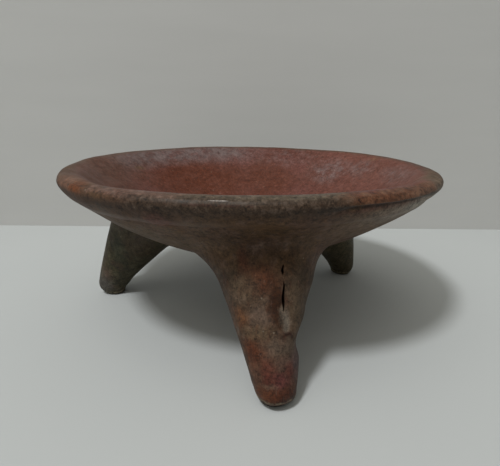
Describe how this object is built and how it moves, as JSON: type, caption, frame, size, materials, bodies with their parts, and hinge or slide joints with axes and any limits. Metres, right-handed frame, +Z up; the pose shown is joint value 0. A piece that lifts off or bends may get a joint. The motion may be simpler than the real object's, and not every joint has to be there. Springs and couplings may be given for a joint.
{
  "type": "tripod bowl",
  "caption": "Shallow earthenware bowl with a rolled lip on hollow conical rattle legs with sound slits, for serving food.",
  "frame": {"origin": "on the dish's axis, at the height of the surface that the toes stand on", "axes": "+Z up, out of the bowl's mouth; -Y towards the front leg, the one with the interrupted slit; +X to the right as the front leg faces the viewer"},
  "size_m": [0.2198, 0.2198, 0.097],
  "materials": {
    "dish_slip": "burnished red slip over fired earthenware, satin",
    "lip_slip": "burnished red slip over fired earthenware, satin",
    "leg_front_slip": "smoke-darkened burnished slip, satin",
    "root_fillet_front_slip": "smoke-darkened burnished slip, satin",
    "slit_side_pellet_front_clay": "bare fired clay, matt",
    "far_side_pellet_front_clay": "bare fired clay, matt",
    "leg_left_slip": "smoke-darkened burnished slip, satin",
    "root_fillet_left_slip": "smoke-darkened burnished slip, satin",
    "slit_side_pellet_left_clay": "bare fired clay, matt",
    "far_side_pellet_left_clay": "bare fired clay, matt",
    "leg_right_slip": "smoke-darkened burnished slip, satin",
    "root_fillet_right_slip": "smoke-darkened burnished slip, satin",
    "slit_side_pellet_right_clay": "bare fired clay, matt",
    "far_side_pellet_right_clay": "bare fired clay, matt"
  },
  "bodies": {
    "vessel": {"dish": "dish_slip", "lip_coil": "lip_slip", "leg_front": "leg_front_slip", "leg_left": "leg_left_slip", "leg_right": "leg_right_slip", "root_fillet_front": "root_fillet_front_slip", "root_fillet_left": "root_fillet_left_slip", "root_fillet_right": "root_fillet_right_slip"},
    "slit_side_pellet_front": {"slit_side_pellet_front": "slit_side_pellet_front_clay"},
    "far_side_pellet_front": {"far_side_pellet_front": "far_side_pellet_front_clay"},
    "slit_side_pellet_left": {"slit_side_pellet_left": "slit_side_pellet_left_clay"},
    "far_side_pellet_left": {"far_side_pellet_left": "far_side_pellet_left_clay"},
    "slit_side_pellet_right": {"slit_side_pellet_right": "slit_side_pellet_right_clay"},
    "far_side_pellet_right": {"far_side_pellet_right": "far_side_pellet_right_clay"}
  },
  "joints": [
    {"name": "slit_side_pellet_front_rattle", "type": "slide", "parent": "vessel", "child": "slit_side_pellet_front", "axis": [0, 0.5948, 0.8038], "range_m": [0, 0.0445]},
    {"name": "far_side_pellet_front_rattle", "type": "slide", "parent": "vessel", "child": "far_side_pellet_front", "axis": [0, 0.5948, 0.8038], "range_m": [0, 0.0465]},
    {"name": "slit_side_pellet_left_rattle", "type": "slide", "parent": "vessel", "child": "slit_side_pellet_left", "axis": [0.5618, -0.1956, 0.8038], "range_m": [0, 0.0445]},
    {"name": "far_side_pellet_left_rattle", "type": "slide", "parent": "vessel", "child": "far_side_pellet_left", "axis": [0.5618, -0.1956, 0.8038], "range_m": [0, 0.0465]},
    {"name": "slit_side_pellet_right_rattle", "type": "slide", "parent": "vessel", "child": "slit_side_pellet_right", "axis": [-0.4977, -0.3257, 0.8038], "range_m": [0, 0.0445]},
    {"name": "far_side_pellet_right_rattle", "type": "slide", "parent": "vessel", "child": "far_side_pellet_right", "axis": [-0.4977, -0.3257, 0.8038], "range_m": [0, 0.0465]}
  ]
}
